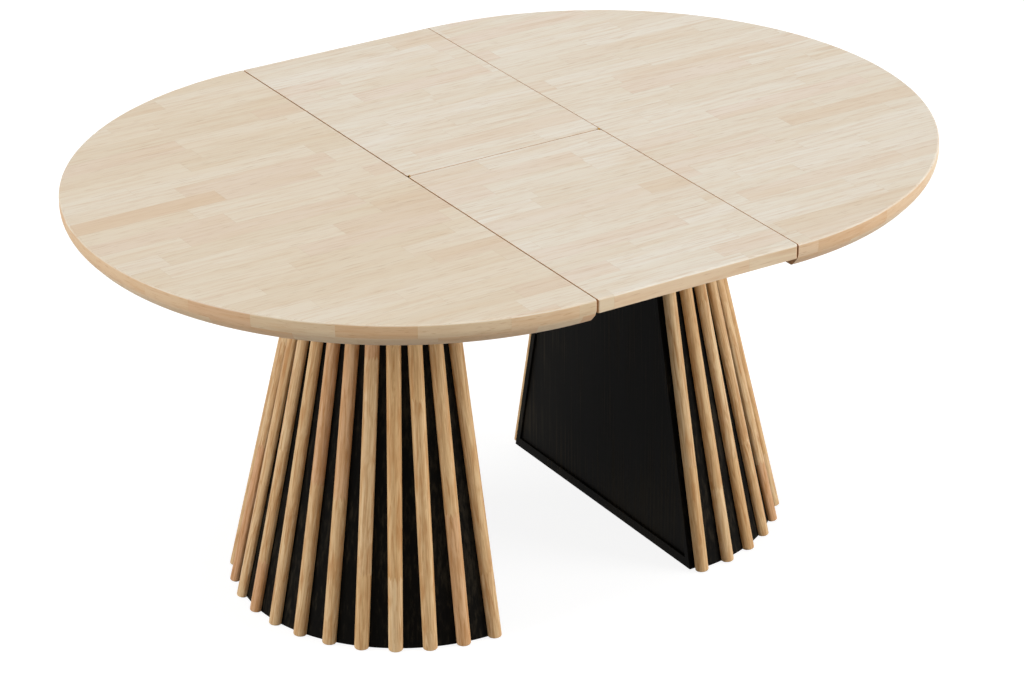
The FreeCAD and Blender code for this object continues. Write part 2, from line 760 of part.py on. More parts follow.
# Swing arms and the folding leaf
keep(swing_arms("front_arms", "worked.front_pivot_y"))
keep(swing_arms("rear_arms", "worked.rear_pivot_y"))
front_panel = leaf_front_panel()
keep(front_panel, mirrored("leaf_rear_panel", front_panel, BEHIND))
keep(front_hinge_plates(), rear_hinge_plates())
keep(four_of("arm_brackets", arm_bracket))
keep(four_of("bracket_pins", bracket_pin))

doc.recompute()
for item in doc.Objects:
    if {"Invalid", "Error"} & set(item.State):
        raise ValueError(f"{item.Label} failed: {item.State}")
for node in nodes:
    if node.Shape.isNull() or not node.Shape.isValid():
        raise ValueError(f"{node.Label} has no valid shape")

os.makedirs("parts", exist_ok=True)
for node in nodes:
    node.Shape.exportStep(f"parts/{node.Label}.step")
print(f"{len(nodes)} sub-parts written")
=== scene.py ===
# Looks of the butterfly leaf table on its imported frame, in metres.
import bmesh
import bpy
import json
import math
from mathutils import Matrix, Vector


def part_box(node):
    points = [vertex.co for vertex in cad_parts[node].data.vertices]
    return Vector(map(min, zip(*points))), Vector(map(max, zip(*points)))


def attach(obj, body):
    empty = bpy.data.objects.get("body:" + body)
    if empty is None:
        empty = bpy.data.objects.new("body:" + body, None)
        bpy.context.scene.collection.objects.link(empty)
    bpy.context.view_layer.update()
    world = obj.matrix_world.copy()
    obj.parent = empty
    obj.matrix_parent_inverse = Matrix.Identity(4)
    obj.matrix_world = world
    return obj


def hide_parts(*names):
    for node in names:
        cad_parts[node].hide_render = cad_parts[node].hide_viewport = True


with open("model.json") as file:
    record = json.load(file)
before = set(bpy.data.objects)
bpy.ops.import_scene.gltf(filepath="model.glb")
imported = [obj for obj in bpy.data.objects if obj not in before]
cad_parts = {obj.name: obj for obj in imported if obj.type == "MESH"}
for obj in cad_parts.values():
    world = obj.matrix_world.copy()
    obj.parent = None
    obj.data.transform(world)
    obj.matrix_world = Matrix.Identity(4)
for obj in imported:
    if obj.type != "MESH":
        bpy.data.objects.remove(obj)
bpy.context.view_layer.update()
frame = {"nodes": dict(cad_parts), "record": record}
MM = 0.001

# The tops' seams, radius and height, as packed
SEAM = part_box("right_top_panel")[0].x
TOP_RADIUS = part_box("right_top_panel")[1].x - SEAM
TOP_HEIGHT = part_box("right_top_panel")[1].z

# Boards
ROUND_STEPS = 360
EDGE_STEPS = 5
TOP_EDGE_EASE = 4 * MM
SEAM_EASE = 0.7 * MM
FOLD_EASE = 0.6 * MM
EDGE_ROUND = 10 * MM
RIM_WIDTH = 50 * MM
RIM_BEVEL_RUN = 18.5 * MM
RIM_EASE = 4 * MM
GLUE_LINE_EASE = 0.4 * MM
LEAF_REACH_LEFT = 1 * MM
LEAF_REACH_RIGHT = 1.7 * MM
HINGE_PLATE = 2.5 * MM
HINGE_BAR = 10 * MM
KNUCKLE_NOTCH = 2.5 * MM

# Pedestals
SLAT_COUNT = 17
SLAT_WIDTH = 25.5 * MM
SLAT_DEPTH = 15 * MM
SLAT_FRONT_RADIUS = 0.525 * SLAT_WIDTH
BASE_RADIUS = 304 * MM
BASE_TOP_RADIUS = 161 * MM
FIT_CLEARANCE = 0.1 * MM
SLAT_END_EASE = 2.2 * MM
SLAT_ROUND_STEPS = 48
SHELL_WALL = 10 * MM
PAINTED_EASE = 0.8 * MM

# Underframe
PLANED_EASE = 1.5 * MM
PRESSED_EASE = 0.4 * MM

# Modelling: what counts as one place, which edges are sharp and which faces flat, in degrees
SAME_PLACE = 0.05 * MM
MERGED = 0.01 * MM
SHARP_EDGE = 35
SEAM_CORNER = 75
SMOOTH_TURN = 50
FLAT_TURN = 0.5

# Depth of the bumps that the finishes draw
WOOD_RELIEF = 0.15 * MM
PAINT_RELIEF = 0.1 * MM
FINE_RELIEF = 0.05 * MM

# Rows of staves and rods start at random within this many lengths, and each piece of wood has its own place
# in the log. The right half's rods are numbered on from here, so that they differ from the left half's.
START_SPREAD = 90
LOG_SPREAD = (37, 53, 71)
RIGHT_ROD_NUMBERS = 20

# Studio, with lamp angles in degrees
FLOOR_SIZE = 80
FLOOR_GLOW = 0.88
AMBIENT = 0.32
LAMP_SPREAD = 35
LAMP_HEIGHT = 4

# The camera as fitted to the photograph: yaw, pitch and roll in degrees, lens and sensor in millimetres
CAMERA_TURN = (31.847, 25.557, -0.445)
CAMERA_PLACE = (-3.2590, -5.2645, 3.3606)
CAMERA_LENS = 134.38
CAMERA_SENSOR = 36
CAMERA_REACH = 200


# Finishes

def linear(code):
    """A colour written as sRGB hex, in the linear values that nodes use."""
    shares = [int(code[start:start + 2], 16) / 255 for start in (1, 3, 5)]
    return [s / 12.92 if s <= 0.04045 else ((s + 0.055) / 1.055) ** 2.4 for s in shares] + [1]


def add(tree, kind, inputs=None, stops=None, **settings):
    """Adds a node: inputs are values or sockets to link, stops are a ramp's places and colours."""
    made = tree.nodes.new(kind)
    for name, setting in settings.items():
        setattr(made, name, setting)
    for name, given in (inputs or {}).items():
        if isinstance(given, bpy.types.NodeSocket):
            tree.links.new(given, made.inputs[name])
        else:
            made.inputs[name].default_value = given
    if stops:
        marks = made.color_ramp.elements
        marks.remove(marks[1])
        marks[0].position, marks[0].color = stops[0][0], linear(stops[0][1])
        for position, code in stops[1:]:
            marks.new(position).color = linear(code)
    return made


def new_finish(name):
    """An empty material with its surface shader."""
    material = bpy.data.materials.new(name)
    material.use_nodes = True
    tree = material.node_tree
    return material, tree, tree.nodes["Principled BSDF"]


# Stave tones from the commonest to the rarest; the left half's boards come from a warmer batch.
PALE_STAVES = (
    (0.0, "#e8e0d2"), (0.35, "#e6ddcd"), (0.6, "#e3d8c6"),
    (0.8, "#e5d7c7"), (0.93, "#e1d3be"), (1.0, "#dfcbb4"))
WARM_STAVES = (
    (0.0, "#e5dac8"), (0.35, "#e3d6c1"), (0.6, "#dfd0b9"),
    (0.8, "#e1d0bc"), (0.93, "#ddcab2"), (1.0, "#dcc3a7"))


def butcher_block(board, shift, staves):
    """Rubberwood staves glued side by side and jointed end to end, sanded and clear lacquered.

    The eye sees cream staves with a few peach and straw ones, fine lengthwise grain with short pores,
    hair-thin glue lines, brown end grain at the seams and a low satin gloss. Painted sheen and shade make the
    sides warmer and darker than the pale top, and painted shade browns the seams' and the fold's gaps.
    """
    material, tree, shader = new_finish(f"lacquered_rubberwood_{board}")
    stave_width, stave_length, edge_stave_length = 47 * MM, 290 * MM, 130 * MM
    glue_line, seam_band, fold_band = 0.7 * MM, 2 * MM, 1.5 * MM
    gap_middle, gap_reach = SEAM - 2.5 * MM, 4.5 * MM
    place = add(tree, "ShaderNodeTexCoord")
    facing = add(tree, "ShaderNodeSeparateXYZ", {"Vector": place.outputs["Normal"]})
    steep = add(tree, "ShaderNodeMath", {0: facing.outputs["Z"]}, operation="ABSOLUTE")
    spot = add(tree, "ShaderNodeSeparateXYZ", {"Vector": place.outputs["Object"]})
    outward = add(tree, "ShaderNodeMath", {0: spot.outputs["X"]}, operation="ABSOLUTE")
    flat = add(tree, "ShaderNodeMapping", {"Vector": place.outputs["Object"], "Location": shift})

    # Round the edge the grain runs along the edge, in shorter pieces.
    past_seam = add(tree, "ShaderNodeMath", {0: outward.outputs[0], 1: SEAM}, operation="SUBTRACT")
    turn = add(tree, "ShaderNodeMath", {0: spot.outputs["Y"], 1: past_seam.outputs[0]}, operation="ARCTAN2")
    arc = add(tree, "ShaderNodeMath",
              {0: turn.outputs[0], 1: TOP_RADIUS * stave_length / edge_stave_length, 2: shift[0]},
              operation="MULTIPLY_ADD")
    height = add(tree, "ShaderNodeMath", {0: spot.outputs["Z"], 1: TOP_HEIGHT - stave_width},
                 operation="SUBTRACT")
    edge = add(tree, "ShaderNodeCombineXYZ",
               {"X": arc.outputs[0], "Y": height.outputs[0], "Z": height.outputs[0]})
    on_side = add(tree, "ShaderNodeMath", {0: steep.outputs[0], 1: 0.75}, operation="LESS_THAN")
    on_round = add(tree, "ShaderNodeMath", {0: past_seam.outputs[0], 1: seam_band}, operation="GREATER_THAN")
    round_side = add(tree, "ShaderNodeMath", {0: on_side.outputs[0], 1: on_round.outputs[0]},
                     operation="MULTIPLY")
    moved = add(tree, "ShaderNodeMix",
                {"Factor": round_side.outputs[0], 4: flat.outputs[0], 5: edge.outputs[0]}, data_type="VECTOR")
    axes = add(tree, "ShaderNodeSeparateXYZ", {"Vector": moved.outputs[1]})
    rows = add(tree, "ShaderNodeMath", {0: axes.outputs["Y"], 1: stave_width}, operation="DIVIDE")
    row = add(tree, "ShaderNodeMath", {0: rows.outputs[0]}, operation="FLOOR")
    start = add(tree, "ShaderNodeTexWhiteNoise", {"W": row.outputs[0]}, noise_dimensions="1D")
    far = add(tree, "ShaderNodeMath", {0: start.outputs["Value"], 1: START_SPREAD}, operation="MULTIPLY")
    lengths = add(tree, "ShaderNodeMath", {0: axes.outputs["X"], 1: 1 / stave_length, 2: far.outputs[0]},
                  operation="MULTIPLY_ADD")
    stave = add(tree, "ShaderNodeTexVoronoi", {"W": lengths.outputs[0], "Scale": 1, "Randomness": 0.85},
                voronoi_dimensions="1D")
    butt = add(tree, "ShaderNodeTexVoronoi", {"W": lengths.outputs[0], "Scale": 1, "Randomness": 0.85},
               voronoi_dimensions="1D", feature="DISTANCE_TO_EDGE")
    chance = add(tree, "ShaderNodeSeparateColor", {"Color": stave.outputs["Color"]})
    tone = add(tree, "ShaderNodeValToRGB", {"Fac": chance.outputs["Red"]}, stops=staves)

    # Grain: soft streaks about 7 mm wide and 140 mm long, each stave cut from another place in the log.
    log = add(tree, "ShaderNodeVectorMath", {0: stave.outputs["Color"], 1: LOG_SPREAD}, operation="MULTIPLY")
    apart = add(tree, "ShaderNodeVectorMath", {0: moved.outputs[1], 1: log.outputs[0]})
    streak_place = add(tree, "ShaderNodeMapping", {"Vector": apart.outputs[0], "Scale": (7, 140, 90)})
    streak = add(tree, "ShaderNodeTexNoise",
                 {"Vector": streak_place.outputs[0], "Scale": 1,
                  "Detail": 4, "Roughness": 0.6, "Distortion": 0.6})
    figure_place = add(tree, "ShaderNodeMapping", {"Vector": apart.outputs[0], "Scale": (3, 28, 28)})
    figure = add(tree, "ShaderNodeTexNoise",
                 {"Vector": figure_place.outputs[0], "Scale": 1, "Detail": 3, "Distortion": 1.2})
    # Pores are a third of a millimetre wide; drawn about 1.5 mm wide so that the render can show them.
    pore_place = add(tree, "ShaderNodeMapping", {"Vector": apart.outputs[0], "Scale": (24, 560, 300)})
    pore = add(tree, "ShaderNodeTexNoise", {"Vector": pore_place.outputs[0], "Scale": 1, "Detail": 1})
    streak_share = add(tree, "ShaderNodeMapRange",
                       {"Value": streak.outputs["Fac"], "From Min": 0.47, "From Max": 0.72, "To Max": 0.45})
    streaked = add(tree, "ShaderNodeMix",
                   {"Factor": streak_share.outputs[0], 6: tone.outputs["Color"], 7: linear("#cfae8b")},
                   data_type="RGBA")
    figure_share = add(tree, "ShaderNodeMapRange",
                       {"Value": figure.outputs["Fac"], "From Min": 0.42, "From Max": 0.7, "To Max": 0.35})
    figured = add(tree, "ShaderNodeMix",
                  {"Factor": figure_share.outputs[0], 6: streaked.outputs[2], 7: linear("#dcc6a8")},
                  data_type="RGBA")
    pore_share = add(tree, "ShaderNodeMapRange",
                     {"Value": pore.outputs["Fac"], "From Min": 0.62, "From Max": 0.74, "To Max": 0.45})
    pored = add(tree, "ShaderNodeMix",
                {"Factor": pore_share.outputs[0], 6: figured.outputs[2], 7: linear("#b8946f")},
                data_type="RGBA")

    # Glue lines are a tenth of a millimetre; drawn 0.7 mm wide and faint for the same reason.
    from_side = add(tree, "ShaderNodeMath", {0: rows.outputs[0], 1: 1}, operation="PINGPONG")
    side_line = add(tree, "ShaderNodeMath", {0: from_side.outputs[0], 1: glue_line / 2 / stave_width},
                    operation="LESS_THAN")
    butt_line = add(tree, "ShaderNodeMath", {0: butt.outputs["Distance"], 1: glue_line / 2 / stave_length},
                    operation="LESS_THAN")
    line = add(tree, "ShaderNodeMath", {0: side_line.outputs[0], 1: butt_line.outputs[0]}, operation="MAXIMUM")
    line_share = add(tree, "ShaderNodeMath", {0: line.outputs[0], 1: 0.18}, operation="MULTIPLY")
    lined = add(tree, "ShaderNodeMix",
                {"Factor": line_share.outputs[0], 6: pored.outputs[2], 7: linear("#a98a66")}, data_type="RGBA")

    # Painted sheen and shade: the colour follows which way each face looks. Faces turned sideways are
    # multiplied warmer and darker than the top, which stays pale in place of the lacquer's reflection of bright
    # surroundings. The darkening starts below the eased upper edge, covers the bevel of the rim and leaves the
    # underside pale.
    from_top = add(tree, "ShaderNodeMath", {0: facing.outputs["Z"], 1: 0.2})
    from_both = add(tree, "ShaderNodeMath", {0: from_top.outputs[0]}, operation="ABSOLUTE")
    painted_sheen_share = add(tree, "ShaderNodeMapRange",
                     {"Value": from_both.outputs[0], "From Min": 0.72, "From Max": 0.5, "To Max": 0.85})
    painted_sheen_tone = add(tree, "ShaderNodeValToRGB", {"Fac": chance.outputs["Green"]}, stops=(
        (0.0, "#fff1db"), (0.5, "#fee4c6"), (1.0, "#f6d2ac")))
    sheen_painted = add(tree, "ShaderNodeMix",
                {"Factor": painted_sheen_share.outputs[0], 6: lined.outputs[2], 7: painted_sheen_tone.outputs["Color"]},
                data_type="RGBA", blend_type="MULTIPLY")
    endwise = add(tree, "ShaderNodeMath", {0: facing.outputs["X"]}, operation="ABSOLUTE")
    end_grain = add(tree, "ShaderNodeMapRange",
                    {"Value": endwise.outputs[0], "From Min": 0.3, "From Max": 0.6, "To Max": 0.75})
    # Brown on the faces across the seam's gap and on a little of the boards on both sides of it: partly the end
    # grain's own colour, partly painted shade in the gap.
    at_seam = add(tree, "ShaderNodeMath", {0: outward.outputs[0], 1: gap_middle, 2: gap_reach},
                  operation="COMPARE")
    end_grain_and_shade_share = add(tree, "ShaderNodeMath", {0: end_grain.outputs[0], 1: at_seam.outputs[0]},
                    operation="MULTIPLY")
    # Painted shade in the fold's gap: the leaf's edges at the fold line are multiplied as brown.
    foldwise = add(tree, "ShaderNodeMath", {0: facing.outputs["Y"]}, operation="ABSOLUTE")
    fold_edge = add(tree, "ShaderNodeMapRange",
                    {"Value": foldwise.outputs[0], "From Min": 0.15, "From Max": 0.45, "To Max": 0.75})
    at_fold = add(tree, "ShaderNodeMath", {0: spot.outputs["Y"], 1: 0, 2: fold_band}, operation="COMPARE")
    painted_fold_shade_share = add(tree, "ShaderNodeMath", {0: fold_edge.outputs[0], 1: at_fold.outputs[0]},
                     operation="MULTIPLY")
    brown_grain_and_shade_share = add(tree, "ShaderNodeMath", {0: end_grain_and_shade_share.outputs[0], 1: painted_fold_shade_share.outputs[0]},
                      operation="MAXIMUM")
    # Multiplies in the brown: end grain and painted shade at the seams, painted shade at the fold.
    ended_and_shaded = add(tree, "ShaderNodeMix",
                {"Factor": brown_grain_and_shade_share.outputs[0], 6: sheen_painted.outputs[2], 7: linear("#d6aa78")},
                data_type="RGBA", blend_type="MULTIPLY")
    sheen = add(tree, "ShaderNodeMapRange", {"Value": streak.outputs["Fac"], "To Min": 0.5, "To Max": 0.64})
    relief = add(tree, "ShaderNodeMath", {0: pore_share.outputs[0], 1: -1, 2: streak.outputs["Fac"]},
                 operation="MULTIPLY_ADD")
    bump = add(tree, "ShaderNodeBump",
               {"Height": relief.outputs[0], "Strength": 0.25, "Distance": WOOD_RELIEF})
    tree.links.new(ended_and_shaded.outputs[2], shader.inputs["Base Color"])
    tree.links.new(sheen.outputs[0], shader.inputs["Roughness"])
    tree.links.new(bump.outputs[0], shader.inputs["Normal"])
    shader.inputs["IOR"].default_value = 1.48
    shader.inputs["Specular IOR Level"].default_value = 0.3
    return material


def slat_wood():
    """Rubberwood mouldings finger-jointed end to end, sanded and lacquered.

    The eye sees tan rods whose tone steps at each toothed joint, with streaks along the rod and a satin gloss.
    The pattern follows each rod by the map that the row carries: rod number and place across, place along.
    """
    material, tree, shader = new_finish("lacquered_rubberwood_moulding")
    piece_length, tooth_width, tooth_length, joint_line = 330 * MM, 5 * MM, 9 * MM, 0.8 * MM
    rod = add(tree, "ShaderNodeAttribute", attribute_name="rod")
    axes = add(tree, "ShaderNodeSeparateXYZ", {"Vector": rod.outputs["Vector"]})
    number = add(tree, "ShaderNodeMath", {0: axes.outputs["X"]}, operation="ROUND")
    start = add(tree, "ShaderNodeTexWhiteNoise", {"W": number.outputs[0]}, noise_dimensions="1D")
    far = add(tree, "ShaderNodeMath", {0: start.outputs["Value"], 1: START_SPREAD}, operation="MULTIPLY")
    teeth = add(tree, "ShaderNodeMath", {0: axes.outputs["X"], 1: tooth_width / 2}, operation="PINGPONG")
    jagged = add(tree, "ShaderNodeMath",
                 {0: teeth.outputs[0], 1: 2 * tooth_length / tooth_width, 2: axes.outputs["Z"]},
                 operation="MULTIPLY_ADD")
    lengths = add(tree, "ShaderNodeMath", {0: jagged.outputs[0], 1: 1 / piece_length, 2: far.outputs[0]},
                  operation="MULTIPLY_ADD")
    piece = add(tree, "ShaderNodeTexVoronoi", {"W": lengths.outputs[0], "Scale": 1, "Randomness": 0.9},
                voronoi_dimensions="1D")
    butt = add(tree, "ShaderNodeTexVoronoi", {"W": lengths.outputs[0], "Scale": 1, "Randomness": 0.9},
               voronoi_dimensions="1D", feature="DISTANCE_TO_EDGE")
    chance = add(tree, "ShaderNodeSeparateColor", {"Color": piece.outputs["Color"]})
    tone = add(tree, "ShaderNodeValToRGB", {"Fac": chance.outputs["Red"]}, stops=(
        (0.0, "#e8c89a"), (0.4, "#e4c190"), (0.65, "#dfb884"), (0.85, "#dfb388"), (1.0, "#d8a47b")))
    log = add(tree, "ShaderNodeVectorMath", {0: piece.outputs["Color"], 1: LOG_SPREAD}, operation="MULTIPLY")
    apart = add(tree, "ShaderNodeVectorMath", {0: rod.outputs["Vector"], 1: log.outputs[0]})
    # Grain: soft streaks about 5 mm wide and 80 mm long, over clouds as wide as the rod.
    streak_place = add(tree, "ShaderNodeMapping", {"Vector": apart.outputs[0], "Scale": (190, 190, 12)})
    streak = add(tree, "ShaderNodeTexNoise",
                 {"Vector": streak_place.outputs[0], "Scale": 1,
                  "Detail": 4, "Roughness": 0.6, "Distortion": 1.2})
    cloud_place = add(tree, "ShaderNodeMapping", {"Vector": apart.outputs[0], "Scale": (45, 45, 14)})
    cloud = add(tree, "ShaderNodeTexNoise",
                {"Vector": cloud_place.outputs[0], "Scale": 1, "Detail": 2, "Distortion": 1})
    streak_share = add(tree, "ShaderNodeMapRange",
                       {"Value": streak.outputs["Fac"], "From Min": 0.4, "From Max": 0.68, "To Max": 0.85})
    streaked = add(tree, "ShaderNodeMix",
                   {"Factor": streak_share.outputs[0], 6: tone.outputs["Color"], 7: linear("#b1793f")},
                   data_type="RGBA")
    cloud_share = add(tree, "ShaderNodeMapRange",
                      {"Value": cloud.outputs["Fac"], "From Min": 0.5, "From Max": 0.72, "To Max": 0.5})
    clouded = add(tree, "ShaderNodeMix",
                  {"Factor": cloud_share.outputs[0], 6: streaked.outputs[2], 7: linear("#bf8951")},
                  data_type="RGBA")
    # The joints are hair lines; drawn 0.8 mm wide so that the render can show them.
    joint = add(tree, "ShaderNodeMath", {0: butt.outputs["Distance"], 1: joint_line / 2 / piece_length},
                operation="LESS_THAN")
    joint_share = add(tree, "ShaderNodeMath", {0: joint.outputs[0], 1: 0.12}, operation="MULTIPLY")
    jointed = add(tree, "ShaderNodeMix",
                  {"Factor": joint_share.outputs[0], 6: clouded.outputs[2], 7: linear("#80592f")},
                  data_type="RGBA")
    sheen = add(tree, "ShaderNodeMapRange", {"Value": streak.outputs["Fac"], "To Min": 0.42, "To Max": 0.58})
    bump = add(tree, "ShaderNodeBump",
               {"Height": streak.outputs["Fac"], "Strength": 0.3, "Distance": WOOD_RELIEF})
    tree.links.new(jointed.outputs[2], shader.inputs["Base Color"])
    tree.links.new(sheen.outputs[0], shader.inputs["Roughness"])
    tree.links.new(bump.outputs[0], shader.inputs["Normal"])
    shader.inputs["IOR"].default_value = 1.48
    shader.inputs["Specular IOR Level"].default_value = 0.25
    return material


def painted_wood():
    """Black satin paint brushed over open-grained board: near black with faint upright grain lines."""
    material, tree, shader = new_finish("black_painted_board")
    place = add(tree, "ShaderNodeTexCoord")
    # Grain lines about 6 mm wide and 250 mm long.
    along = add(tree, "ShaderNodeMapping", {"Vector": place.outputs["Object"], "Scale": (170, 170, 4)})
    grain = add(tree, "ShaderNodeTexNoise",
                {"Vector": along.outputs[0], "Scale": 1, "Detail": 4, "Roughness": 0.65})
    cloud = add(tree, "ShaderNodeTexNoise", {"Vector": place.outputs["Object"], "Scale": 6, "Detail": 2})
    both = add(tree, "ShaderNodeMath", {0: cloud.outputs["Fac"], 1: 0.6, 2: grain.outputs["Fac"]},
               operation="MULTIPLY_ADD")
    tone = add(tree, "ShaderNodeValToRGB", {"Fac": both.outputs[0]}, stops=(
        (0.6, "#050403"), (0.8, "#0d0b08"), (1.0, "#2a251d")))
    sheen = add(tree, "ShaderNodeMapRange", {"Value": grain.outputs["Fac"], "To Min": 0.5, "To Max": 0.7})
    bump = add(tree, "ShaderNodeBump",
               {"Height": grain.outputs["Fac"], "Strength": 0.35, "Distance": PAINT_RELIEF})
    tree.links.new(tone.outputs["Color"], shader.inputs["Base Color"])
    tree.links.new(sheen.outputs[0], shader.inputs["Roughness"])
    tree.links.new(bump.outputs[0], shader.inputs["Normal"])
    shader.inputs["IOR"].default_value = 1.46
    shader.inputs["Specular IOR Level"].default_value = 0.04
    return material


def bare_hardwood(piece, grain_scale):
    """Planed hardwood with no finish: dry tan with straight grain along the piece and no gloss."""
    material, tree, shader = new_finish(f"planed_hardwood_{piece}")
    place = add(tree, "ShaderNodeTexCoord")
    along = add(tree, "ShaderNodeMapping", {"Vector": place.outputs["Object"], "Scale": grain_scale})
    grain = add(tree, "ShaderNodeTexNoise",
                {"Vector": along.outputs[0], "Scale": 1, "Detail": 4, "Distortion": 0.5})
    tone = add(tree, "ShaderNodeValToRGB", {"Fac": grain.outputs["Fac"]}, stops=(
        (0.3, "#d3b690"), (0.5, "#c7a67d"), (0.7, "#b38e62")))
    bump = add(tree, "ShaderNodeBump",
               {"Height": grain.outputs["Fac"], "Strength": 0.3, "Distance": WOOD_RELIEF})
    tree.links.new(tone.outputs["Color"], shader.inputs["Base Color"])
    tree.links.new(bump.outputs[0], shader.inputs["Normal"])
    shader.inputs["Roughness"].default_value = 0.7
    return material


def metal(name, dark, light, smooth, rough, scale, bump_strength):
    """A bare or plated metal with fine marks of its making: drawn lines, crystals or brushing."""
    material, tree, shader = new_finish(name)
    place = add(tree, "ShaderNodeTexCoord")
    along = add(tree, "ShaderNodeMapping", {"Vector": place.outputs["Object"], "Scale": scale})
    marks = add(tree, "ShaderNodeTexNoise", {"Vector": along.outputs[0], "Scale": 1, "Detail": 3})
    tone = add(tree, "ShaderNodeValToRGB", {"Fac": marks.outputs["Fac"]}, stops=((0.3, dark), (0.7, light)))
    sheen = add(tree, "ShaderNodeMapRange", {"Value": marks.outputs["Fac"], "To Min": smooth, "To Max": rough})
    bump = add(tree, "ShaderNodeBump",
               {"Height": marks.outputs["Fac"], "Strength": bump_strength, "Distance": FINE_RELIEF})
    tree.links.new(tone.outputs["Color"], shader.inputs["Base Color"])
    tree.links.new(sheen.outputs[0], shader.inputs["Roughness"])
    tree.links.new(bump.outputs[0], shader.inputs["Normal"])
    shader.inputs["Metallic"].default_value = 1
    return material


def powder_coat():
    """Black polyester powder coat on sheet steel: dark grey-black with a fine orange-peel surface."""
    material, tree, shader = new_finish("black_powder_coat")
    place = add(tree, "ShaderNodeTexCoord")
    # The peel is about 1 mm from crest to crest.
    peel = add(tree, "ShaderNodeTexNoise", {"Vector": place.outputs["Object"], "Scale": 1000, "Detail": 1})
    tone = add(tree, "ShaderNodeValToRGB", {"Fac": peel.outputs["Fac"]},
               stops=((0.3, "#131313"), (0.7, "#1d1d1c")))
    bump = add(tree, "ShaderNodeBump",
               {"Height": peel.outputs["Fac"], "Strength": 0.4, "Distance": FINE_RELIEF})
    tree.links.new(tone.outputs["Color"], shader.inputs["Base Color"])
    tree.links.new(bump.outputs[0], shader.inputs["Normal"])
    shader.inputs["Roughness"].default_value = 0.45
    return material


def moulded_plastic():
    """Black moulded nylon: matt, with a fine spark-eroded grain from its mould."""
    material, tree, shader = new_finish("black_moulded_nylon")
    place = add(tree, "ShaderNodeTexCoord")
    # The mould's grain is about 0.5 mm; drawn 1 mm wide.
    grit = add(tree, "ShaderNodeTexNoise", {"Vector": place.outputs["Object"], "Scale": 1000, "Detail": 2})
    tone = add(tree, "ShaderNodeValToRGB", {"Fac": grit.outputs["Fac"]},
               stops=((0.3, "#1b1b1b"), (0.7, "#262626")))
    bump = add(tree, "ShaderNodeBump",
               {"Height": grit.outputs["Fac"], "Strength": 0.3, "Distance": FINE_RELIEF})
    tree.links.new(tone.outputs["Color"], shader.inputs["Base Color"])
    tree.links.new(bump.outputs[0], shader.inputs["Normal"])
    shader.inputs["Roughness"].default_value = 0.6
    return material


FINISHES = {
    "slat_wood": slat_wood(),
    "black_wood": painted_wood(),
    # Grain lines about 5 mm wide and 120 mm long, along the rails.
    "rail_wood": bare_hardwood("rails", (8, 200, 200)),
    # Extruded aluminium: pale grey with faint drawn lines along the runner.
    "runner_metal": metal("mill_finish_aluminium", "#8b8d8f", "#a5a7a9", 0.35, 0.5, (4, 600, 600), 0.15),
    # Bright zinc plating: cool grey, clouded by its crystals.
    "steel": metal("bright_zinc_plate", "#a9adb1", "#c6c9cc", 0.22, 0.4, (220, 220, 220), 0.1),
    "black_steel": powder_coat(),
    # Satin brass: dull yellow, rubbed with fine grit.
    "hinge_brass": metal("satin_brass", "#8a6a35", "#b18c4d", 0.3, 0.45, (90, 900, 900), 0.1),
    "glide_plastic": moulded_plastic(),
}
for part in frame["record"]["subparts"]:
    if part["material_slot"] in FINISHES:
        for holder in frame["nodes"][part["node"]].material_slots:
            holder.material = FINISHES[part["material_slot"]]


# Pieces

def deselect():
    bpy.ops.object.select_all(action="DESELECT")


def pick(piece, kind, wanted):
    """In edit mode, selects the vertices, edges or faces that are wanted by their centre."""
    bpy.ops.mesh.select_mode(type=kind)
    bpy.ops.mesh.select_all(action="DESELECT")
    shape = bmesh.from_edit_mesh(piece.data)
    items = {"VERT": shape.verts, "EDGE": shape.edges, "FACE": shape.faces}[kind]
    for item in items:
        corners = [item] if kind == "VERT" else item.verts
        if wanted(sum((corner.co for corner in corners), Vector()) / len(corners)):
            item.select_set(True)
    shape.select_flush_mode()
    bmesh.update_edit_mesh(piece.data)


def near(first, second):
    return abs(first - second) < SAME_PLACE


def ease(piece, width, segments=3, sharp=SHARP_EDGE):
    """Rounds the edges that turn by more than the sharp angle, and keeps the flat faces flat in the light."""
    rounding = piece.modifiers.new("eased_edges", "BEVEL")
    rounding.width = width
    rounding.segments = segments
    rounding.limit_method = "ANGLE"
    rounding.angle_limit = math.radians(sharp)
    bpy.ops.object.modifier_apply(modifier=rounding.name)
    bpy.ops.object.shade_smooth_by_angle(angle=math.radians(SMOOTH_TURN))
    flattening = piece.modifiers.new("flat_faces", "WEIGHTED_NORMAL")
    flattening.keep_sharp = True
    bpy.ops.object.modifier_apply(modifier=flattening.name)


def cut_half(seam, sign):
    """Keeps the half of the piece on one side of the seam, and closes it there."""
    bpy.ops.mesh.select_all(action="SELECT")
    bpy.ops.mesh.bisect(plane_co=(seam, 0, 0), plane_no=(sign, 0, 0), use_fill=True, clear_inner=True)


def fitted(piece, name, body, slot, finish, *nodes):
    """Names a finished piece and ties it to the frame."""
    piece.name = name
    piece.data.name = name
    piece.data.materials.clear()
    piece.data.materials.append(finish)
    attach(piece, body)
    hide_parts(*nodes)
    deselect()
    return piece


